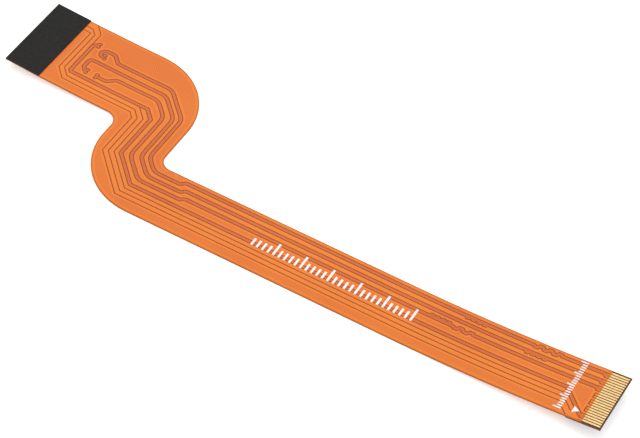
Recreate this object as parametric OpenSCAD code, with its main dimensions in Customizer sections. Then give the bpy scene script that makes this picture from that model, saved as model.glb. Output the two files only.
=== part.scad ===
// Flat flex cable: a two-layer flexible printed circuit that joins a 22-way, 0.5 mm connector
// to a 15-way, 1.0 mm connector. It lies with its strip along X, its contact tongue towards +X
// and its wide end towards -X. Both ends curl gently upwards.

/* [Outline] */
// Length over both ends
overall_l = 120; // [110:1:180]
// Width of the strip and its 22-way tongue
strip_w = 11.5; // [11.4:0.1:12]
// Width of the neck between the two bends
neck_w = 11.5; // [11:0.1:14]
// Width of the wide end
far_w = 16; // [16:0.1:19]
// Distance from the wide end's edge to the centreline of the neck
neck_from_end = 28.5; // [27:0.5:34]
// Sideways step from the strip's centreline to that of the wide end
side_step = 19.25; // [17.5:0.25:30]
// Radius of the inside corners
inner_r = 2.2; // [1:0.1:4]
// Radius of the outside corners
outer_r = 12.5; // [8:0.5:13]

/* [Layers] */
// Thickness of the polyimide core
core_t = 0.05; // [0.025:0.005:0.1]
// Thickness of each copper layer
copper_t = 0.02; // [0.012:0.002:0.035]
// Thickness of each coverlay film
cover_t = 0.04; // [0.025:0.005:0.06]
// Depth of the dips where the top coverlay spans a gap in the copper
relief_d = 0.012; // [0.004:0.002:0.02]
// Thickness of each stiffened end
tongue_t = 0.3; // [0.28:0.01:0.4]
// Thickness of the glue under each stiffener
glue_t = 0.025; // [0.01:0.005:0.04]
// Thickness of the gold plate on the contacts
gold_t = 0.006; // [0.002:0.002:0.01]
// Thickness of the white ink
ink_t = 0.01; // [0.006:0.002:0.02]

/* [Contacts] */
// Number of contacts on the narrow tongue
near_count = 22; // [22:1:22]
// Pitch of the narrow tongue's contacts
near_pitch = 0.5; // [0.48:0.01:0.5]
// Width of one contact there
near_contact_w = 0.32; // [0.28:0.01:0.34]
// Length of bare contact on the narrow tongue
near_bare_l = 3.2; // [2.5:0.1:3.5]
// Number of contacts under the wide end
far_count = 15; // [15:1:15]
// Pitch of the wide end's contacts
far_pitch = 1; // [0.95:0.01:1]
// Width of one contact there
far_contact_w = 0.7; // [0.5:0.05:0.75]
// Length of bare contact under the wide end
far_bare_l = 4; // [3:0.1:4.5]
// Distance from a contact's end to the film's edge
contact_inset = 0.25; // [0.1:0.05:0.4]
// Length of the stiffener under the narrow tongue
near_stiffener_l = 5.8; // [5:0.1:6.5]
// Length of the stiffener on the wide end
far_stiffener_l = 6.7; // [6:0.1:7]

/* [Copper] */
// Width of one signal trace
trace_w = 0.15; // [0.1:0.01:0.16]
// Distance between the two traces of a pair, centre to centre
pair_pitch = 0.3; // [0.26:0.01:0.32]
// Gap between neighbouring copper shapes
copper_gap = 0.18; // [0.12:0.01:0.18]
// Distance from the copper to the film's edge
edge_margin = 0.25; // [0.15:0.05:0.3]
// Radius of the pad around a via
pad_r = 0.22; // [0.18:0.01:0.25]
// Radius of a via's barrel
via_r = 0.1; // [0.06:0.01:0.12]

/* [Curl] */
// Length of the strip that curls up towards the narrow tongue
near_curl_l = 37.5; // [25:0.5:45]
// Rise of the narrow tongue's edge
near_rise = 2.3; // [1:0.1:5]
// Length of the wide end that curls up
far_curl_l = 33.5; // [25:0.5:36]
// Rise of the wide end's edge
far_rise = 1.35; // [0.5:0.05:4]

/* [Ink] */
// Length of the scale along the strip
scale_l = 29; // [20:1:30]
// Distance from the tongue's edge to the start of that scale
scale_from_tongue = 35; // [30:1:38]
// Height of the longest scale tick
scale_h = 2.6; // [1.6:0.1:3]
// Width of one scale tick
tick_w = 0.4; // [0.2:0.05:0.5]
// Side of the first-contact triangle
mark_side = 1.3; // [0.8:0.1:1.5]

/* [Hidden] */

film_colour = [0.9, 0.45, 0.13, 0.6];
core_colour = [0.6, 0.3, 0.08];
copper_colour = [0.85, 0.5, 0.25];
glue_colour = [0.75, 0.42, 0.15, 0.7];
gold_colour = [0.85, 0.72, 0.48];

// Places along the cable: the tongue's edge is x = 0 and the strip's centreline is y = 0
far_end = -overall_l;
neck_x = far_end + neck_from_end;
far_y = side_step;
near_edge_y = strip_w / 2;
neck_right = neck_x + neck_w / 2;
neck_left = neck_x - neck_w / 2;
far_top = far_y + far_w / 2;
far_bottom = far_y - far_w / 2;
centre = [far_end / 2, (far_top - near_edge_y) / 2];

// Heights of the layers in the flat middle, from the underside up
bottom_copper_z = cover_t;
core_z = bottom_copper_z + copper_t;
top_copper_z = core_z + core_t;
top_cover_z = top_copper_z + copper_t;
top_z = top_cover_z + cover_t;
near_stack_t = top_cover_z;
far_stack_t = top_z - bottom_copper_z;
near_stiffener_t = tongue_t - near_stack_t - glue_t;
far_stiffener_t = tongue_t - far_stack_t - glue_t;

arc_steps = 18;
bend_steps = 3;
curl_steps = 5;
round_steps = 16;
reach = 200;
overlap = 0.05;

// Rise of the film at a place along the cable: flat, then a parabola at each end,
// with the stiffened stretches straight
near_flat = -near_curl_l;
far_flat = far_end + far_curl_l;
function near_bow(x) = near_rise * pow(max(0, x - near_flat) / near_curl_l, 2);
function far_bow(x) = far_rise * pow(max(0, far_flat - x) / far_curl_l, 2);
function bow(x) = near_bow(x) + far_bow(x);
curl_x = concat(
    [far_end],
    [for (i = [0:curl_steps]) far_end + far_stiffener_l
        + (far_curl_l - far_stiffener_l) * i / curl_steps],
    [for (i = [0:curl_steps]) near_flat + (near_curl_l - near_stiffener_l) * i / curl_steps],
    [0]);

// ---- Paths ----

function turned(v) = [-v[1], v[0]];
function unit(v) = v / norm(v);
function side_of(p, i) = turned(unit(p[i + 1] - p[i]));
// A path moved sideways, to its left where d is positive, with mitred corners
function shifted(p, d) = [for (i = [0:len(p) - 1])
    i == 0 ? p[0] + d * side_of(p, 0)
    : i == len(p) - 1 ? p[i] + d * side_of(p, i - 1)
    : p[i] + d * (side_of(p, i - 1) + side_of(p, i)) / (1 + side_of(p, i - 1) * side_of(p, i))];
function reversed(p) = [for (i = [len(p) - 1:-1:0]) p[i]];
// The outline of a path of width w
function ribbon(p, w) = concat(shifted(p, -w / 2), reversed(shifted(p, w / 2)));
// An arc of radius r in place of the corner b of the path a, b, c
function corner_arc(a, b, c, r, steps) =
    let(u = unit(a - b), v = unit(c - b), half = acos(u * v) / 2,
        mid = b + unit(u + v) * r / sin(half), sweep = 90 - half,
        out = unit(b - mid), s = u[0] * v[1] - u[1] * v[0] > 0 ? -1 : 1)
    r == 0 ? [b] : [for (i = [0:steps]) let(t = s * sweep * (1 - 2 * i / steps))
        mid + r * [out[0] * cos(t) + out[1] * sin(t), out[1] * cos(t) - out[0] * sin(t)]];
// A path with every inside corner rounded to radius r
function rounded(p, r) = [for (i = [0:len(p) - 1])
    each i == 0 || i == len(p) - 1 ? [p[i]] : corner_arc(p[i - 1], p[i], p[i + 1], r, bend_steps)];

// ---- The film's outline ----

// Outline moved in by m at the sides, by e_near at the tongue and by e_far at the wide end
function outline(m, e_near, e_far) =
    let(q = [[-e_near, near_edge_y - m, 0],
        [neck_right - m, near_edge_y - m, inner_r + m],
        [neck_right - m, far_top - m, outer_r - m],
        [far_end + e_far, far_top - m, 0],
        [far_end + e_far, far_bottom + m, 0],
        [neck_left + m, far_bottom + m, inner_r + m],
        [neck_left + m, -near_edge_y + m, outer_r - m],
        [-e_near, -near_edge_y + m, 0]], n = len(q))
    [for (i = [0:n - 1]) let(a = q[(i + n - 1) % n], b = q[i], c = q[(i + 1) % n])
        each corner_arc([a[0], a[1]], [b[0], b[1]], [c[0], c[1]], b[2], arc_steps)];

// ---- Routes of the conductors ----

// Offsets of a lane from the centrelines: wide end, first diagonal, neck, second diagonal, strip
lane_1 = [2.2, 0.45, 3.55, 7.05, 4];
lane_2 = [0.45, -0.85, 2.25, 5.7, 2.55];
lane_3 = [-1.2, -2.4, 0.65, 4.05, 1.1];
lane_4 = [-3.85, -4.6, -0.9, 2.65, -0.45];
lane_guard = [-3.85, -5.8, -2, 1.6, -1.6];
lane_split = [-5.1, -6.7, -2.9, 0.7, -2.5];
lane_outer = [-6, -7.6, -3.8, -0.2, -3.45];
// Sideways place of pairs 1 to 3 after the jog, and the jog's place along the strip
jog_y = [4.7, 3.17, 1.65];
jog_x = [-80.1, -79.2, -78.4] + (overall_l - 120) * [-1, -1, -1];
// Distance of the lanes' columns from the wide end's edge, and of the diagonals that they end in
column_4 = 10.2;
column_split = 9.05;
column_outer = 8.2;
bend_radius = 2.4;
jog_radius = 0.8;
curl_radius = 0.6;
// Width of the clear channel that a pair runs in
channel_w = pair_pitch + trace_w + 2 * copper_gap;

function diagonal(x, y, d) = x + y + sqrt(2) * d;
// The four corners of a lane, from the wide end to the strip
function bends(l) = let(c1 = diagonal(neck_x, far_y, l[1]), c2 = diagonal(neck_x, 0, l[3]),
        yf = far_y + l[0], xn = neck_x + l[2])
    [[c1 - yf, yf], [xn, c1 - xn], [xn, c2 - xn], [c2 - l[4], l[4]]];
function jog(l, k) = let(h = (jog_y[k] - l[4]) / 2)
    [[jog_x[k] - h, l[4]], [jog_x[k] + h, jog_y[k]]];
// A wave of both traces of a pair, one step of the wave on each side of the lane in turn
function wave(x, y, pitch, height, count) = concat([[x - pitch * 0.27, y]],
    [for (i = [0:2 * count - 1]) let(s = i % 2 == 0 ? -1 : 1)
        each [[x + pitch * (i / 2 - 0.12), y + s * height], [x + pitch * (i / 2 + 0.12), y + s * height]]],
    [[x + pitch * (count - 0.23), y]]);
// Bumps in one trace alone, to the side s
function bumps(x, y, pitch, height, count, s) = [for (i = [0:count - 1])
    each [[x + pitch * i, y], [x + pitch * i + 0.25, y + s * height],
        [x + pitch * i + 0.65, y + s * height], [x + pitch * i + 0.9, y]]];

fan_x = -(near_bare_l + 1.05);
pour_x = -(near_bare_l + 0.64);
spare_x = pour_x + copper_gap;
function contact_y(i) = ((near_count - 1) / 2 - i) * near_pitch;
function far_contact_y(j) = far_y + ((far_count - 1) / 2 - j) * far_pitch;

// Ends of the pairs in the wide end, measured from its edge and centreline
function at_far(x, y) = [far_end + x, far_y + y];
pad_1 = [at_far(13.2, 2.55), at_far(13.45, 1.85)];
pad_2 = [at_far(12.65, -1.9), at_far(12.6, -2.6)];
pad_3 = [at_far(14.6, -2.75), at_far(14.6, -2)];
pad_4 = [at_far(11.1, 3.6), at_far(11.05, 4.3)];

curl_1 = rounded([at_far(13, 2), at_far(12.3, 2.25), at_far(12.3, 3.1), at_far(12.9, 3.6),
    at_far(14.6, 3.6), at_far(16, lane_1[0]), bends(lane_1)[0]], curl_radius);
curl_2 = rounded([at_far(12.4, -2.45), at_far(11.6, -1.7), at_far(11.6, lane_2[0]),
    bends(lane_2)[0]], curl_radius);
curl_3 = rounded([at_far(14.5, -2.4), at_far(16.6, -2.4), at_far(18, lane_3[0]),
    bends(lane_3)[0]], curl_radius);
corner_4 = diagonal(far_end, far_y, 4.72);
curl_4 = [at_far(10.85, 4), at_far(column_4, 3.3), [far_end + column_4, corner_4 - far_end - column_4],
    [corner_4 - far_y - lane_4[0], far_y + lane_4[0]]];

function inner_bends(l) = let(b = bends(l)) rounded(
    concat([(b[0] + [b[0][0] - 3, b[0][1]]) / 2], b, [b[3] + [1.2, 0]]), bend_radius);
function straight_in(k) = [[fan_x, jog_y[k]]];
function pair_body(curl, l, k, waves) = concat(
    [for (i = [0:len(curl) - 2]) curl[i]], inner_bends(l),
    [for (i = [1:2 * bend_steps + 2]) rounded(concat([bends(l)[3] + [1.2, 0]], jog(l, k),
        [[jog_x[k] + 3, jog_y[k]]]), jog_radius)[i]],
    waves, straight_in(k));

wave_1 = wave(-15.7, jog_y[0], 1.6, 0.22, 3);
wave_3 = wave(-28.3, jog_y[2], 1.8, 0.22, 2);
path_1 = pair_body(curl_1, lane_1, 0, wave_1);
path_2 = pair_body(curl_2, lane_2, 1, []);
path_3 = pair_body(curl_3, lane_3, 2, wave_3);
near_4 = diagonal(-8.05, 0, 0) + lane_4[4];
near_4_y = contact_y(19.5);
path_4 = concat(curl_4, bends(lane_4),
    [[near_4 - lane_4[4], lane_4[4]], [near_4 - near_4_y, near_4_y], [pour_x + 0.09, near_4_y]]);
path_guard = let(b = bends(lane_guard), c = b[0][0] + b[0][1])
    concat(bends(lane_guard), [[near_4 - lane_guard[4], lane_guard[4]]]);
corner_split = diagonal(far_end, far_y, 3.8);
near_split = diagonal(-7.5, lane_split[4], 0);
path_split = concat([at_far(4, 6.6), at_far(8, 6.6), at_far(column_split, 5.55),
    [far_end + column_split, corner_split - far_end - column_split],
    [corner_split - far_y - lane_split[0], far_y + lane_split[0]]],
    bends(lane_split), [[-7.5, lane_split[4]], [near_split + 4.45, -4.45]]);
corner_outer = diagonal(far_end, far_y, 2.9);
near_outer = diagonal(-8, lane_outer[4], 0);
path_outer = concat([at_far(-1, 5.6), at_far(column_outer, 5.6),
    [far_end + column_outer, corner_outer - far_end - column_outer],
    [corner_outer - far_y - lane_outer[0], far_y + lane_outer[0]]],
    bends(lane_outer), [[-8, lane_outer[4]], [near_outer + near_edge_y + 1, -near_edge_y - 1]]);
// The gap that closes the supply strip off from the main ground, up to the film's top edge
crown_x = column_4 - 0.3;
path_crown = [at_far(crown_x - 3.2, far_w / 2 + 1.4), at_far(crown_x, 6.2), at_far(crown_x, 3)];

// One trace of a pair: from its via pad, beside the pair's path, to its contact
function with_bumps(p, b) = len(b) == 0 ? p : concat(
    [for (q = p) if (q[0] < b[0][0]) q], b, [for (q = p) if (q[0] > b[len(b) - 1][0]) q]);
function trace_path(p, side, pad, i, b) = let(x = p[len(p) - 1][0]) concat([pad],
    with_bumps(shifted(p, side * pair_pitch / 2), b),
    [[max(fan_x + 0.3, x + 0.15), contact_y(i)], [pour_x + 0.35, contact_y(i)]]);
bump_h = 0.32;
low_1 = bumps(-28, jog_y[0] - pair_pitch / 2, 1, bump_h, 4, -1);
low_2 = bumps(-16.9, jog_y[1] - pair_pitch / 2, 1, bump_h, 4, -1);
high_3 = bumps(-33, jog_y[2] + pair_pitch / 2, 1, bump_h, 4, 1);
TRACE_PAIR = [path_1, path_1, path_2, path_2, path_3, path_3, path_4, path_4];
TRACE_PAD = [pad_1[1], pad_1[0], pad_2[1], pad_2[0], pad_3[1], pad_3[0], pad_4[0], pad_4[1]];
TRACE_CONTACT = [1, 2, 4, 5, 7, 8, 19, 20];
TRACE_BUMPS = [[], low_1, [], low_2, high_3, [], [], []];
function trace_side(t) = t % 2 == 0 ? 1 : -1;
function trace_line(t, b) = trace_path(TRACE_PAIR[t], trace_side(t), TRACE_PAD[t], TRACE_CONTACT[t], b);
SPARE_CONTACT = [10, 11, 13, 14, 16, 17];
GROUND_CONTACT = [0, 3, 6, 9, 12, 15, 18];
SUPPLY_CONTACT = 21;

// ---- Plan shapes ----

module area(m, e_near, e_far) polygon(outline(m, e_near, e_far));

// A trace, its via pad and its contact
module trace_plan(t) {
    polygon(ribbon(trace_line(t, TRACE_BUMPS[t]), trace_w));
    translate(TRACE_PAD[t]) circle(pad_r, $fn = 12);
    contact_plan(TRACE_CONTACT[t], pour_x, 0);
}

// The channel that is kept clear for a pair, with its via pads and its fan to the contacts
PAIRS = [path_1, path_2, path_3, path_4];
FAN_START = [fan_x - 0.05, fan_x - 0.05, fan_x - 0.05, pour_x - 0.2];
module channel(k) {
    last = PAIRS[k][len(PAIRS[k]) - 1];
    y = contact_y(TRACE_CONTACT[2 * k] + 0.5);
    h = near_pitch / 2 + near_contact_w / 2 + copper_gap;
    near = channel_w / 2 - 0.02;
    polygon(ribbon(PAIRS[k], channel_w));
    for (t = [2 * k, 2 * k + 1]) translate(TRACE_PAD[t]) circle(pad_r + copper_gap, $fn = 12);
    polygon([[FAN_START[k], last[1] - near], [pour_x - 0.12, y - h], [-contact_inset / 2, y - h],
        [-contact_inset / 2, y + h], [pour_x - 0.12, y + h], [FAN_START[k], last[1] + near]]);
    bay(2 * k);
    bay(2 * k + 1);
}

// A bay in the channel's side around each bump of a trace
module bay(t) {
    m = trace_w / 2 + copper_gap;
    b = TRACE_BUMPS[t];
    s = trace_side(t);
    if (len(b) > 0) for (i = [0:4:len(b) - 1]) {
        p = [b[i] - [m, s * m / 2], b[i + 1] + [-m / 2, s * m], b[i + 2] + [m / 2, s * m],
            b[i + 3] + [m, -s * m / 2]];
        polygon(s > 0 ? reversed(p) : p);
    }
}

module contact_plan(i, x, extra) translate([x - extra, contact_y(i) - near_contact_w / 2 - extra])
    square([-x - contact_inset + 2 * extra, near_contact_w + 2 * extra]);

// All that the poured copper keeps clear of
module clearings() {
    for (k = [0:3]) channel(k);
    for (p = [path_guard, path_split, path_crown, path_outer]) polygon(ribbon(p, copper_gap));
}

// Everything on the inner side of a path that runs from the wide end to the tongue
module inner_side(p) polygon(concat(p, [[reach, p[len(p) - 1][1]], [reach, reach], [p[0][0], reach]]));

module poured() difference() {
    area(edge_margin, -pour_x, contact_inset);
    clearings();
}

// ---- Layers ----

// A layer that starts at height z, is t thick and follows the film's curl
module layer(z, t) intersection() {
    translate([0, 0, -1]) linear_extrude(near_rise + far_rise + 2) children();
    rotate([90, 0, 0]) translate([0, 0, -reach / 2]) linear_extrude(reach)
        polygon(concat([for (x = curl_x) [x, bow(x) + z]],
            [for (x = reversed(curl_x)) [x, bow(x) + z + t]]));
}

module placed() translate([-centre[0], -centre[1], 0]) children();

// Several plan shapes as one outline
module merged() offset(delta = 0) children();

module top_copper() placed() layer(top_copper_z, copper_t) children();

module top_contact(i) contact_plan(i, pour_x - overlap, 0);

// The path that divides the main ground from the supply strip
path_divide = concat(path_crown, [for (i = [len(curl_4) - 2:len(path_4) - 1]) path_4[i]]);

module guard_area() polygon(concat(path_guard,
    reversed(concat(bends(lane_4), [[near_4 - lane_4[4], lane_4[4]]]))));

module supply_plan() {
    difference() {
        intersection() {
            poured();
            inner_side(path_outer);
        }
        inner_side(path_divide);
        guard_area();
    }
    top_contact(SUPPLY_CONTACT);
}

module guard_plan() intersection() {
    poured();
    guard_area();
}

module outer_plan() difference() {
    poured();
    inner_side(path_outer);
}

module main_plan() {
    intersection() {
        poured();
        inner_side(path_divide);
    }
    for (i = GROUND_CONTACT) top_contact(i);
}

module spare_plan() for (i = SPARE_CONTACT) contact_plan(i, spare_x, 0);

module all_top_plan() {
    poured();
    for (t = [0:7]) trace_plan(t);
    for (i = concat(GROUND_CONTACT, [SUPPLY_CONTACT])) top_contact(i);
    spare_plan();
}

// The gaps in the top copper, as far as the contacts
module top_gaps() difference() {
    intersection() {
        clearings();
        area(edge_margin / 2, -pour_x, far_stiffener_l / 2);
    }
    for (t = [0:7]) trace_plan(t);
}

// The gaps between the contacts, where the coverlay still covers them
module contact_gaps() difference() {
    translate([pour_x, -near_edge_y + edge_margin]) square([-pour_x, strip_w - 2 * edge_margin]);
    for (i = [0:near_count - 1]) contact_plan(i, is_spare(i) ? spare_x : pour_x - overlap, 0);
}
function is_spare(i) = len([for (k = SPARE_CONTACT) if (k == i) k]) > 0;

// Underside: contacts under the wide end, and the traces from the vias to them
far_pour_x = far_bare_l + 0.5;
supply_join = [6.3, 7];
BOTTOM_ROUTE = [[pad_1[0], 6], [pad_1[1], 7], [pad_2[0], 9], [pad_2[1], 10],
    [pad_3[1], 12], [pad_3[0], 13], [pad_4[1], 3], [pad_4[0], 4]];
FAR_GROUND = [2, 5, 8, 11, 14];
FAR_SUPPLY = [0, 1];
SUPPLY_VIAS = [for (x = [5.4, 6.6]) each [at_far(x, 6.1), at_far(x, 7.1)]];
GROUND_VIAS = concat([for (j = [5, 8, 11, 14]) at_far(5.8, far_contact_y(j) - far_y)],
    [at_far(23.7, 1.35), [neck_x - 1.6, far_y / 2], [-11, 1], [-30, -4.5], [-62, -4.5]]);
VIAS = concat([for (r = BOTTOM_ROUTE) r[0]], SUPPLY_VIAS, GROUND_VIAS);

module far_contact_plan(j, x, extra) translate([far_end + contact_inset - extra,
        far_contact_y(j) - far_contact_w / 2 - extra])
    square([x - contact_inset + 2 * extra, far_contact_w + 2 * extra]);

// A trace under the wide end: from its via, along a diagonal, to its contact
module bottom_trace_plan(r, extra) {
    y = far_contact_y(r[1]);
    step = abs(r[0][1] - y);
    polygon(ribbon([r[0], [r[0][0] - step, y], [far_end + far_bare_l, y]], trace_w + 2 * extra));
    translate(r[0]) circle(pad_r + extra, $fn = 12);
    far_contact_plan(r[1], far_pour_x - copper_gap, extra);
}

module bottom_supply_plan(extra) {
    for (j = FAR_SUPPLY) far_contact_plan(j, supply_join[1], extra);
    translate(at_far(supply_join[0] - extra, far_contact_y(1) - far_y - extra))
        square([supply_join[1] - supply_join[0] + 2 * extra, far_pitch + 2 * extra]);
}

module bottom_clearings() {
    for (r = BOTTOM_ROUTE) bottom_trace_plan(r, copper_gap);
    bottom_supply_plan(copper_gap);
}

module bottom_ground_plan() {
    difference() {
        area(edge_margin, edge_margin, far_pour_x);
        bottom_clearings();
    }
    for (j = FAR_GROUND) far_contact_plan(j, far_pour_x + overlap, 0);
}

module all_bottom_plan() {
    bottom_ground_plan();
    for (r = BOTTOM_ROUTE) bottom_trace_plan(r, 0);
    bottom_supply_plan(0);
}

module bottom_gaps() difference() {
    bottom_clearings();
    all_bottom_plan();
}

module via_plan() for (v = VIAS) translate(v) circle(via_r, $fn = 8);

// ---- Films and adhesives ----

module core_film() color(core_colour) placed() layer(core_z, core_t) difference() {
    area(0, 0, 0);
    via_plan();
}

module vias() color(copper_colour) placed() layer(core_z, core_t) via_plan();

module top_coverlay() color(film_colour) placed() difference() {
    layer(top_cover_z, cover_t) area(0, near_bare_l, 0);
    layer(top_z - relief_d, relief_d + overlap) merged() {
        top_gaps();
        contact_gaps();
    }
}

module top_adhesive() color(glue_colour) placed() layer(top_copper_z, copper_t) merged()
    difference() {
        area(0, near_bare_l, 0);
        all_top_plan();
    }

module bottom_coverlay() color(film_colour) placed() difference() {
    layer(0, cover_t) area(0, 0, far_bare_l);
    layer(-overlap, relief_d + overlap) bottom_gaps();
}

module bottom_adhesive() color(glue_colour) placed() layer(bottom_copper_z, copper_t) difference() {
    area(0, 0, far_bare_l);
    all_bottom_plan();
}

// ---- Copper ----

module trace(t) color(copper_colour) top_copper() trace_plan(t);
module pair_1_plus() trace(0);
module pair_1_minus() trace(1);
module pair_2_plus() trace(2);
module pair_2_minus() trace(3);
module pair_3_plus() trace(4);
module pair_3_minus() trace(5);
module pair_4_plus() trace(6);
module pair_4_minus() trace(7);

module supply_strip() color(copper_colour) top_copper() supply_plan();
module guard_strip() color(copper_colour) top_copper() guard_plan();
module outer_ground() color(copper_colour) top_copper() outer_plan();
module main_ground() color(copper_colour) top_copper() merged() main_plan();
module spare_contacts() color(copper_colour) top_copper() spare_plan();

module bottom_copper() placed() layer(bottom_copper_z, copper_t) children();
module bottom_ground() color(copper_colour) bottom_copper() bottom_ground_plan();
module bottom_traces() color(copper_colour) bottom_copper()
    for (r = BOTTOM_ROUTE) bottom_trace_plan(r, 0);
module bottom_supply() color(copper_colour) bottom_copper() bottom_supply_plan(0);

// ---- Contact plating ----

module near_contact_plating() color(gold_colour) placed() layer(top_cover_z, gold_t)
    for (i = [0:near_count - 1]) contact_plan(i, -near_bare_l, 0);

module far_contact_plating() color(gold_colour) placed() layer(bottom_copper_z - gold_t, gold_t)
    for (j = [0:far_count - 1]) far_contact_plan(j, far_bare_l, 0);

// ---- Stiffeners ----

module near_strip(l) translate([-l, -near_edge_y]) square([l, strip_w]);
module far_strip(l) translate([far_end, far_bottom]) square([l, far_w]);

module near_stiffener() color([0.25, 0.13, 0.05]) placed()
    layer(-glue_t - near_stiffener_t, near_stiffener_t) near_strip(near_stiffener_l);
module near_stiffener_glue() color(glue_colour) placed()
    layer(-glue_t, glue_t) near_strip(near_stiffener_l);
module far_stiffener() color([0.16, 0.15, 0.15]) placed()
    layer(top_z + glue_t, far_stiffener_t) far_strip(far_stiffener_l);
module far_stiffener_glue() color(glue_colour) placed()
    layer(top_z, glue_t) far_strip(far_stiffener_l);

// ---- Ink ----

module ink() color("white") placed() layer(top_z, ink_t) children();

// Plain graduations along the strip, every fifth one longer
module strip_scale_ink() ink() for (i = [0:scale_l]) {
    h = i % 5 == 0 ? scale_h : scale_h * 0.6;
    translate([-scale_from_tongue - i - tick_w / 2, scale_base_y]) square([tick_w, h]);
}
scale_base_y = -0.9;

// Short graduations beside the contacts, one to each contact, every fifth one longer
module contact_scale_ink() ink() for (i = [0:near_count - 2]) {
    l = i % 5 == 0 ? 1.3 : 0.8;
    translate([contact_scale_x - l, contact_y(i) - near_pitch / 4]) square([l, near_pitch / 2]);
}
contact_scale_x = -7.05;

module first_contact_mark() ink() translate([-5.35, -3.95])
    polygon([[0, -mark_side / 2], [mark_side * 0.8, 0], [0, mark_side / 2]]);

core_film();
top_coverlay();
top_adhesive();
bottom_coverlay();
bottom_adhesive();
pair_1_plus();
pair_1_minus();
pair_2_plus();
pair_2_minus();
pair_3_plus();
pair_3_minus();
pair_4_plus();
pair_4_minus();
supply_strip();
guard_strip();
outer_ground();
main_ground();
spare_contacts();
bottom_ground();
bottom_traces();
bottom_supply();
vias();
near_contact_plating();
far_contact_plating();
near_stiffener();
near_stiffener_glue();
far_stiffener();
far_stiffener_glue();
strip_scale_ink();
contact_scale_ink();
first_contact_mark();
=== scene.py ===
import math

import bmesh
import bpy
from mathutils import Matrix, Vector
from mathutils.bvhtree import BVHTree
from mathutils.geometry import delaunay_2d_cdt


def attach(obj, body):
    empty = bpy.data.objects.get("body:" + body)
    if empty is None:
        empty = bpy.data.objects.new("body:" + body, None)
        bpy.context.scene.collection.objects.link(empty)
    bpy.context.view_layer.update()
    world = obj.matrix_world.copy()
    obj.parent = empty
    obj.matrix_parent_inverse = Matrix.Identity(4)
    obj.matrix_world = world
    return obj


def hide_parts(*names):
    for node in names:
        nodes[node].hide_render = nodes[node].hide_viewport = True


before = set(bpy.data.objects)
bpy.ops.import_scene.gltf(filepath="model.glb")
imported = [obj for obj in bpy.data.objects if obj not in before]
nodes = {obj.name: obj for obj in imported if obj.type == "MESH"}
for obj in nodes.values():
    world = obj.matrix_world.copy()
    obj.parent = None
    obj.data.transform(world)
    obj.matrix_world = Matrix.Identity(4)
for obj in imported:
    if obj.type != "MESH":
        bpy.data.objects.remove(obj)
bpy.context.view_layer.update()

MM = 0.001

# The cable's curl in mm, as the part's source has it: flat in the middle, a parabola at each end
NEAR_FLAT_X, NEAR_CURL_L, NEAR_RISE = 22.5, 37.5, 2.3
FAR_FLAT_X, FAR_CURL_L, FAR_RISE = -26.5, 33.5, 1.35
NEAR_STIFF_X, FAR_STIFF_X = 54.2, -53.3
TONGUE_X = 60.0

# Height of the flat film's top, and the coverlay's thickness
TOP_Z, COVER_T = 0.17, 0.04
# Depth of the film's dips between the conductors, and the width of its shoulders there
RELIEF, SHOULDER = 0.012, 0.035
# Longest edge that a shoulder may have, as a share of its width
SHOULDER_REACH = 1.8
# How far the skin's wall passes the coverlay's lower face
WALL_SINK = 0.004
# Widths in the plan: bare core at the film's edge, smooth copper beside a gap, and the gap
# between a pair and the copper beside it, where the film's dark colour is partly painted shade
EDGE_MARGIN, SMOOTH_MARGIN, PAIR_EDGE = 0.27, 0.36, 0.24
# A margin line may run this close to the copper's edges, as a share of the margin
FREE_SHARE = 0.98
# Distance between the cuts across the skin, which let it follow the curl
CUT_STEP = 1.6
# Decimals that a place in the plan is kept to, the join distance there, and how level a face is
PLACES, JOIN, LEVEL = 4, 1e-5, 0.9


def parabola(x):
    near = max(0.0, x - NEAR_FLAT_X) / NEAR_CURL_L
    far = max(0.0, FAR_FLAT_X - x) / FAR_CURL_L
    return NEAR_RISE * near * near + FAR_RISE * far * far


def rise(x):
    """Height of the film's underside at x, in mm: straight over the stiffened ends."""
    if x > NEAR_STIFF_X:
        a, b = parabola(NEAR_STIFF_X), parabola(TONGUE_X)
        return a + (b - a) * (x - NEAR_STIFF_X) / (TONGUE_X - NEAR_STIFF_X)
    if x < FAR_STIFF_X:
        a, b = parabola(FAR_STIFF_X), parabola(-TONGUE_X)
        return a + (b - a) * (FAR_STIFF_X - x) / (TONGUE_X + FAR_STIFF_X)
    return parabola(x)


# ---- Materials ----

# Pitch and direction of the copper's hatching, and how strongly it shows
HATCH_PITCH, HATCH_ANGLE, HATCH_SHOWS = 0.36 * MM, math.radians(45), 0.34
# The wave texture's bands in one unit of its scale, in radians
WAVE_RADIANS = 20
# Reflection of the films, the inks and the backings at a right angle
DULL = 0.25


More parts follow.
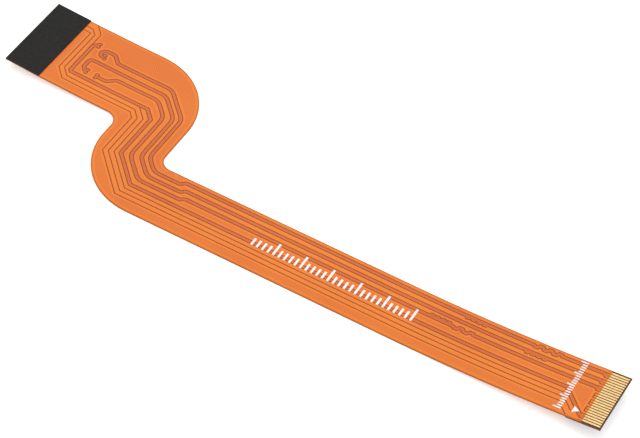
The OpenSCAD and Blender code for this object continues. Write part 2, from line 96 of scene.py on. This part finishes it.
class Nodes:
    """A short way to write a material's node tree."""

    def __init__(self, name):
        self.material = bpy.data.materials.new(name)
        self.material.use_nodes = True
        self.tree = self.material.node_tree
        self.shader = self.tree.nodes["Principled BSDF"]

    def add(self, kind, inputs=(), **settings):
        node = self.tree.nodes.new(kind)
        for key, value in settings.items():
            setattr(node, key, value)
        for key, value in dict(inputs).items():
            self.set(node, key, value)
        return node

    def set(self, node, key, value):
        if isinstance(value, bpy.types.NodeSocket):
            self.tree.links.new(value, node.inputs[key])
        else:
            node.inputs[key].default_value = value

    def place(self):
        return self.add("ShaderNodeTexCoord").outputs["Object"]

    def noise(self, scale, detail):
        node = self.add("ShaderNodeTexNoise", {
            "Vector": self.place(), "Scale": scale, "Detail": detail,
        })
        return node.outputs["Fac"]

    def mapped(self, value, low, high, to_low=0.0, to_high=1.0):
        node = self.add("ShaderNodeMapRange", {0: value, 1: low, 2: high, 3: to_low, 4: to_high})
        return node.outputs[0]

    def mix(self, factor, a, b):
        node = self.add("ShaderNodeMix", {0: factor}, data_type="RGBA")
        self.set(node, 6, a)
        self.set(node, 7, b)
        return node.outputs[2]

    def math(self, operation, *values):
        node = self.add("ShaderNodeMath", dict(enumerate(values)), operation=operation)
        return node.outputs[0]

    def bump(self, height, distance, strength):
        node = self.add("ShaderNodeBump", {
            "Height": height, "Distance": distance, "Strength": strength,
        })
        self.set(self.shader, "Normal", node.outputs["Normal"])

    def finish(self, colour, roughness, metallic=0.0, specular=0.5):
        self.set(self.shader, "Base Color", colour)
        self.set(self.shader, "Roughness", roughness)
        self.set(self.shader, "Metallic", metallic)
        self.set(self.shader, "Specular IOR Level", specular)
        return self.material


def srgb(r, g, b):
    def lin(c):
        c /= 255
        return c / 12.92 if c <= 0.04045 else ((c + 0.055) / 1.055) ** 2.4

    return (lin(r), lin(g), lin(b), 1.0)


def hatch(n):
    """Fine parallel lines across the film: 0 in a line, 1 between."""
    turned = n.add("ShaderNodeMapping", {
        "Vector": n.place(), "Rotation": (0, 0, HATCH_ANGLE),
    }, vector_type="TEXTURE")
    wave = n.add("ShaderNodeTexWave", {
        "Vector": turned.outputs[0],
        "Scale": 2 * math.pi / (HATCH_PITCH * WAVE_RADIANS),
        "Distortion": 0.0,
    }, wave_type="BANDS", bands_direction="X", wave_profile="SIN")
    return wave.outputs["Fac"]


def film(name, light, dark, lines=0.0):
    """Orange film over what lies under it. lines is how strongly the copper's hatching shows."""
    n = Nodes(name)
    cloud = n.mapped(n.noise(60, 2), 0.35, 0.65)
    grain = n.noise(9000, 3)
    # Painted sheen: light flecks scattered over the film by the grain
    painted_sheen = n.mapped(grain, 0.3, 0.7, 0.0, 0.12)
    colour = n.mix(cloud, dark, light)
    colour = n.mix(painted_sheen, colour, srgb(255, 170, 100))
    height = grain
    if lines:
        band = hatch(n)
        colour = n.mix(n.mapped(band, 0.0, 1.0, lines, 0.0), colour, srgb(196, 88, 24))
        height = n.math("ADD", n.math("MULTIPLY", grain, 0.4), band)
    n.bump(height, 0.004 * MM, 0.5)
    rough = n.mapped(n.noise(2500, 2), 0.3, 0.7, 0.36, 0.46)
    return n.finish(colour, rough, specular=DULL)


def metal(name, light, dark, rough):
    n = Nodes(name)
    speck = n.noise(5000, 3)
    colour = n.mix(n.mapped(speck, 0.35, 0.65), dark, light)
    n.bump(speck, 0.002 * MM, 0.4)
    roughness = n.mapped(n.noise(1500, 2), 0.3, 0.7, rough, rough + 0.12)
    return n.finish(colour, roughness, metallic=0.6)


def plain(name, light, dark, rough, scale=1500):
    n = Nodes(name)
    speck = n.noise(scale, 4)
    colour = n.mix(n.mapped(speck, 0.35, 0.65), dark, light)
    n.bump(speck, 0.004 * MM, 0.5)
    roughness = n.mapped(n.noise(scale / 3, 2), 0.3, 0.7, rough - 0.06, rough + 0.06)
    return n.finish(colour, roughness, specular=DULL)


FILM_SOLID = film("film_over_copper", srgb(240, 127, 8), srgb(235, 119, 5))
FILM_HATCH = film("film_over_hatched_copper", srgb(236, 119, 4), srgb(229, 111, 3), HATCH_SHOWS)
FILM_TRACE = film("film_over_trace", srgb(222, 106, 22), srgb(215, 99, 18))
FILM_BETWEEN = film("film_between_traces", srgb(208, 94, 18), srgb(201, 88, 15))
# Film over the gaps: darker with no copper under it, and darker still with painted shade of the
# copper's edge steps
FILM_GAP_AND_SHADE = film("film_over_gap_and_painted_shade", srgb(142, 44, 1), srgb(132, 38, 1))
FILM_BARE = film("film_over_core", srgb(219, 110, 10), srgb(208, 101, 8))

COPPER = metal("copper_foil", srgb(226, 150, 96), srgb(205, 126, 76), 0.32)
GOLD = metal("gold_plating", srgb(231, 196, 138), srgb(218, 179, 119), 0.42)
CORE = plain("core_film", srgb(84, 52, 8), srgb(70, 42, 6), 0.45)
GLUE = plain("amber_adhesive", srgb(170, 92, 34), srgb(150, 78, 26), 0.45)
BLACK = plain("black_backing", srgb(28, 26, 24), srgb(22, 21, 20), 0.7, scale=6000)
BROWN = plain("brown_backing", srgb(84, 44, 20), srgb(66, 34, 14), 0.42)
INK = plain("white_ink", srgb(255, 252, 250), srgb(246, 240, 240), 0.6, scale=6000)

CAD_MATERIAL = {
    "core_film": CORE, "top_adhesive": GLUE, "bottom_adhesive": GLUE,
    "near_stiffener_glue": GLUE, "far_stiffener_glue": GLUE,
    "near_contact_plating": GOLD, "far_contact_plating": GOLD,
    "near_stiffener": BROWN, "far_stiffener": BLACK,
    "strip_scale_ink": INK, "contact_scale_ink": INK, "first_contact_mark": INK,
}


def paint(mesh, *materials):
    """Gives a mesh its materials, before it has faces where it is new: they keep their slots."""
    mesh.materials.clear()
    for m in materials:
        mesh.materials.append(m)


for name, obj in nodes.items():
    paint(obj.data, CAD_MATERIAL.get(name, COPPER))

# ---- The plan of the CAD layers ----


def flat_faces(node, side):
    """The triangles of a CAD node that face up (side 1) or down (side -1), in plan, in mm."""
    mesh = nodes[node].data
    mesh.calc_loop_triangles()
    out = []
    for t in mesh.loop_triangles:
        a, b, c = (mesh.vertices[i].co / MM for i in t.vertices)
        normal = (b - a).cross(c - a)
        if normal.length > 0 and side * normal.normalized().z > LEVEL:
            out.append([(round(p.x, PLACES), round(p.y, PLACES)) for p in (a, b, c)])
    return out


def border(triangles):
    """The edges that only one triangle has."""
    count = {}
    for t in triangles:
        for i in range(3):
            key = tuple(sorted((t[i], t[(i + 1) % 3])))
            count[key] = count.get(key, 0) + 1
    return [k for k, c in count.items() if c == 1 and k[0] != k[1]]


def beside(edges, d):
    """Each edge moved d to both sides."""
    out = []
    for (ax, ay), (bx, by) in edges:
        length = math.hypot(bx - ax, by - ay)
        if length > 0:
            ox, oy = -(by - ay) / length * d, (bx - ax) / length * d
            for k in (-1, 1):
                out.append(((round(ax + k * ox, PLACES), round(ay + k * oy, PLACES)),
                            (round(bx + k * ox, PLACES), round(by + k * oy, PLACES))))
    return out


def tree_of(groups):
    """A ray-cast tree of flat triangles, and the group that each triangle is of."""
    points, faces, owner = [], [], []
    for key, triangles in groups.items():
        for t in triangles:
            faces.append((len(points), len(points) + 1, len(points) + 2))
            points.extend((x, y, 0.0) for x, y in t)
            owner.append(key)
    return BVHTree.FromPolygons(points, faces), owner


def owner_of(tree, owners, corners):
    """The group that lies under a triangle: at its middle, or a little towards a corner."""
    middle = (corners[0] + corners[1] + corners[2]) / 3
    for p in (middle, *(middle.lerp(c, 0.3) for c in corners)):
        hit = tree.ray_cast(Vector((p.x, p.y, 1.0)), Vector((0, 0, -1.0)))
        if hit[2] is not None:
            return owners[hit[2]]
    return None


def wall_tree(edges):
    """A tree that finds how far a place in the plan is from the nearest edge."""
    points, faces = [], []
    for (ax, ay), (bx, by) in edges:
        n = len(points)
        points += [(ax, ay, -1.0), (bx, by, -1.0), (bx, by, 1.0), (ax, ay, 1.0)]
        faces.append((n, n + 1, n + 2, n + 3))
    return BVHTree.FromPolygons(points, faces)


def near(tree, corners, distance):
    middle = (corners[0] + corners[1] + corners[2]) / 3
    return tree.find_nearest(Vector((middle.x, middle.y, 0.0)), distance)[0] is not None


# ---- The film's skins ----


class Conductors:
    """The copper under a skin: what lies where, and how near its edges are."""

    def __init__(self, groups, side):
        borders = {n: border(flat_faces(n, side)) for names in groups.values() for n in names}
        wide = [n for key, names in groups.items() if key != "trace" for n in names]
        self.slots = list(groups)
        self.edges = [e for edges in borders.values() for e in edges]
        self.tree, self.owners = tree_of({
            key: [t for n in names for t in flat_faces(n, side)] for key, names in groups.items()
        })
        self.walls = wall_tree(self.edges)
        self.wide_walls = wall_tree([e for n in wide for e in borders[n]])
        # Material slots that follow the conductors'
        self.gap = len(self.slots)
        self.bare = self.gap + 1
        self.between = self.gap + 2

    def in_the_open(self, a, b):
        """Is the middle of the edge over hatched copper, with its whole margin free?"""
        middle = [Vector(((a[0] + b[0]) / 2, (a[1] + b[1]) / 2, 0))] * 3
        return (owner_of(self.tree, self.owners, middle) == "hatch"
                and not near(self.walls, middle, SMOOTH_MARGIN * FREE_SHARE))

    def slot_at(self, corners, outer_walls):
        """The material slot of the film over a triangle."""
        which = owner_of(self.tree, self.owners, corners)
        if which is None and near(outer_walls, corners, EDGE_MARGIN):
            return self.bare
        if which is None:
            # Film in a gap beside wide copper is dark, partly from the bare core under it and
            # partly with painted shade of the copper's edges
            return self.gap if near(self.wide_walls, corners, PAIR_EDGE) else self.between
        if which == "hatch" and near(self.walls, corners, SMOOTH_MARGIN):
            which = "solid"
        return self.slots.index(which)


def drawing(cover_faces, outline, copper):
    """The points and the lines that the skin's triangles follow."""
    index, points, edges = {}, [], []

    def line(a, b):
        for p in (a, b):
            if p not in index:
                index[p] = len(points)
                points.append(Vector(p))
        edges.append((index[a], index[b]))

    margins = [e for e in beside(copper.edges, SMOOTH_MARGIN) if copper.in_the_open(*e)]
    for a, b in copper.edges + margins + outline:
        line(a, b)
    xs = [x for t in cover_faces for x, _ in t]
    ys = [y for t in cover_faces for _, y in t]
    x = min(xs) + CUT_STEP
    while x < max(xs) - CUT_STEP / 2:
        line((round(x, PLACES), min(ys) - 1), (round(x, PLACES), max(ys) + 1))
        x += CUT_STEP
    return points, edges


def flat_skin(bm, cover_faces, copper):
    """Fills bm with the film's flat triangles, each in its slot."""
    outline = border(cover_faces)
    points, edges = drawing(cover_faces, outline, copper)
    flat, _, triangles, *_ = delaunay_2d_cdt(points, edges, [], 0, JOIN)
    inside, inside_owner = tree_of({0: cover_faces})
    outer_walls = wall_tree(outline)
    verts = [bm.verts.new((p.x, p.y, 0)) for p in flat]
    for t in triangles:
        corners = [flat[i] for i in t]
        if owner_of(inside, inside_owner, corners) is not None:
            face = bm.faces.new([verts[i] for i in t])
            face.material_index = copper.slot_at(corners, outer_walls)
    bmesh.ops.delete(bm, geom=[v for v in bm.verts if not v.link_faces], context="VERTS")


def add_shoulders(bm, gap):
    """Raises the film over the conductors, with a shoulder inside their edges."""
    over = [f for f in bm.faces if f.material_index < gap]
    rim = set(bmesh.ops.inset_region(bm, faces=over, thickness=SHOULDER, use_even_offset=True,
                                     use_boundary=True)["faces"])

    def is_top(face):
        return face not in rim and face.material_index < gap

    longest = SHOULDER_REACH * SHOULDER
    bm.edges.index_update()
    for e in sorted({e for f in rim for e in f.edges}, key=lambda e: e.index):
        if len(e.link_faces) == 2 and all(f in rim for f in e.link_faces):
            outer, inner = sorted(e.verts, key=lambda v: any(is_top(f) for f in v.link_faces))
            if e.calc_length() > longest:
                inner.co = outer.co + (inner.co - outer.co).normalized() * longest
    high = {v for f in over if f.is_valid and f not in rim for v in f.verts}
    high -= {v for f in bm.faces if f not in rim and f.material_index >= gap for v in f.verts}
    for v in bm.verts:
        v.co.z = 0.0 if v in high else -RELIEF


def add_wall(bm):
    """Takes the film's edge down to the coverlay's lower face."""
    rim = [e for e in bm.edges if e.is_boundary]
    for g in bmesh.ops.extrude_edge_only(bm, edges=rim)["geom"]:
        if isinstance(g, bmesh.types.BMVert):
            g.co.z = -COVER_T - WALL_SINK


def curl(bm, side):
    """Bends the flat skin to the cable's curl, on its upper or lower face, in metres."""
    for v in bm.verts:
        level = TOP_Z + v.co.z if side > 0 else -v.co.z
        v.co.z = rise(v.co.x) + level
        v.co *= MM
    if side < 0:
        bmesh.ops.reverse_faces(bm, faces=bm.faces[:])


def skin(name, cover, side, groups, materials):
    """The film over one face of the cable: raised over each conductor, sunk between them, with
    rounded shoulders. groups gives the conductors' nodes by material."""
    copper = Conductors(groups, side)
    bm = bmesh.new()
    flat_skin(bm, flat_faces(cover, side), copper)
    add_shoulders(bm, copper.gap)
    add_wall(bm)
    curl(bm, side)
    for f in bm.faces:
        f.smooth = True
    mesh = bpy.data.meshes.new(name)
    paint(mesh, *materials)
    bm.to_mesh(mesh)
    bm.free()
    obj = bpy.data.objects.new(name, mesh)
    bpy.context.scene.collection.objects.link(obj)
    return obj


top = skin("top_film", "top_coverlay", 1, {
    "solid": ["supply_strip", "guard_strip", "spare_contacts"],
    "hatch": ["main_ground", "outer_ground"],
    "trace": [f"pair_{k}_{s}" for k in (1, 2, 3, 4) for s in ("plus", "minus")],
}, (FILM_SOLID, FILM_HATCH, FILM_TRACE, FILM_GAP_AND_SHADE, FILM_BARE, FILM_BETWEEN))
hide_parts("top_coverlay")
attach(top, "root")

bottom = skin("bottom_film", "bottom_coverlay", -1, {
    "hatch": ["bottom_ground"],
    "solid": ["bottom_traces", "bottom_supply"],
}, (FILM_HATCH, FILM_SOLID, FILM_GAP_AND_SHADE, FILM_BARE, FILM_GAP_AND_SHADE))
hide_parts("bottom_coverlay")
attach(bottom, "root")

# ---- Camera ----

# Direction in radians, and distance and target in mm
AZIMUTH, ELEVATION, ROLL = 0.4619, 0.8412, 0.0837
DISTANCE = 384.3284
TARGET = Vector((2.5301, -0.9192, TOP_Z))
# Lens and sensor in mm
LENS, SENSOR = 133.7407, 36.0


def add_camera():
    back = Vector((
        math.sin(AZIMUTH) * math.cos(ELEVATION),
        -math.cos(AZIMUTH) * math.cos(ELEVATION),
        math.sin(ELEVATION),
    ))
    right = (-back).cross(Vector((0, 0, 1))).normalized()
    up = right.cross(-back)
    turned_right = math.cos(ROLL) * right + math.sin(ROLL) * up
    turned_up = -math.sin(ROLL) * right + math.cos(ROLL) * up
    pose = Matrix((turned_right, turned_up, back)).transposed().to_4x4()
    pose.translation = (TARGET + back * DISTANCE) * MM
    camera = bpy.data.objects.new("camera", bpy.data.cameras.new("camera"))
    camera.matrix_world = pose
    camera.data.sensor_width = SENSOR
    camera.data.lens = LENS
    camera.data.clip_start = 0.01
    camera.data.clip_end = 10.0
    bpy.context.scene.collection.objects.link(camera)
    bpy.context.scene.camera = camera


add_camera()

# ---- Floor and light ----

# Half the floor's side, and its height just under the cable, in metres
FLOOR_REACH, FLOOR_Z = 3.0, -0.02 * MM
FLOOR_LIFT = 0.4
WORLD_LIGHT = 0.64


def floor_material():
    """White, with the cable's shadow kept: what the camera or a gloss sees is lifted a little."""
    n = Nodes("white_floor")
    tone = n.mix(n.noise(30, 3), (0.93, 0.93, 0.93, 1), (0.95, 0.95, 0.95, 1))
    n.finish(tone, 0.95, specular=0.0)
    path = n.add("ShaderNodeLightPath").outputs
    mirrored = n.math("MAXIMUM", path["Is Glossy Ray"], path["Is Transmission Ray"])
    seen = n.math("MAXIMUM", path["Is Camera Ray"], mirrored)
    glow = n.add("ShaderNodeEmission", {
        "Color": (1, 1, 1, 1), "Strength": n.math("MULTIPLY", seen, FLOOR_LIFT),
    })
    both = n.add("ShaderNodeAddShader", {0: n.shader.outputs[0], 1: glow.outputs[0]})
    output = next(x for x in n.tree.nodes if x.type == "OUTPUT_MATERIAL")
    n.tree.links.new(both.outputs[0], output.inputs["Surface"])
    return n.material


def floor():
    mesh = bpy.data.meshes.new("floor")
    corners = [(x * FLOOR_REACH, y * FLOOR_REACH, FLOOR_Z)
               for x, y in ((-1, -1), (1, -1), (1, 1), (-1, 1))]
    mesh.from_pydata(corners, [], [(0, 1, 2, 3)])
    obj = bpy.data.objects.new("floor", mesh)
    obj.data.materials.append(floor_material())
    bpy.context.scene.collection.objects.link(obj)


def lamp(name, place, size, power):
    """A square lamp that faces the cable, placed in metres."""
    data = bpy.data.lights.new(name, "AREA")
    data.size = size
    data.energy = power
    obj = bpy.data.objects.new(name, data)
    obj.location = place
    obj.rotation_euler = (-Vector(place)).to_track_quat("-Z", "Y").to_euler()
    bpy.context.scene.collection.objects.link(obj)


floor()
lamp("key", (-0.35, 0.45, 0.8), 0.8, 4.0)
lamp("fill", (0.6, -0.5, 0.7), 0.8, 2.0)

world = bpy.data.worlds.new("studio")
world.use_nodes = True
background = world.node_tree.nodes["Background"]
background.inputs[0].default_value = (1, 1, 1, 1)
background.inputs[1].default_value = WORLD_LIGHT
bpy.context.scene.world = world
bpy.context.scene.view_settings.view_transform = "Standard"
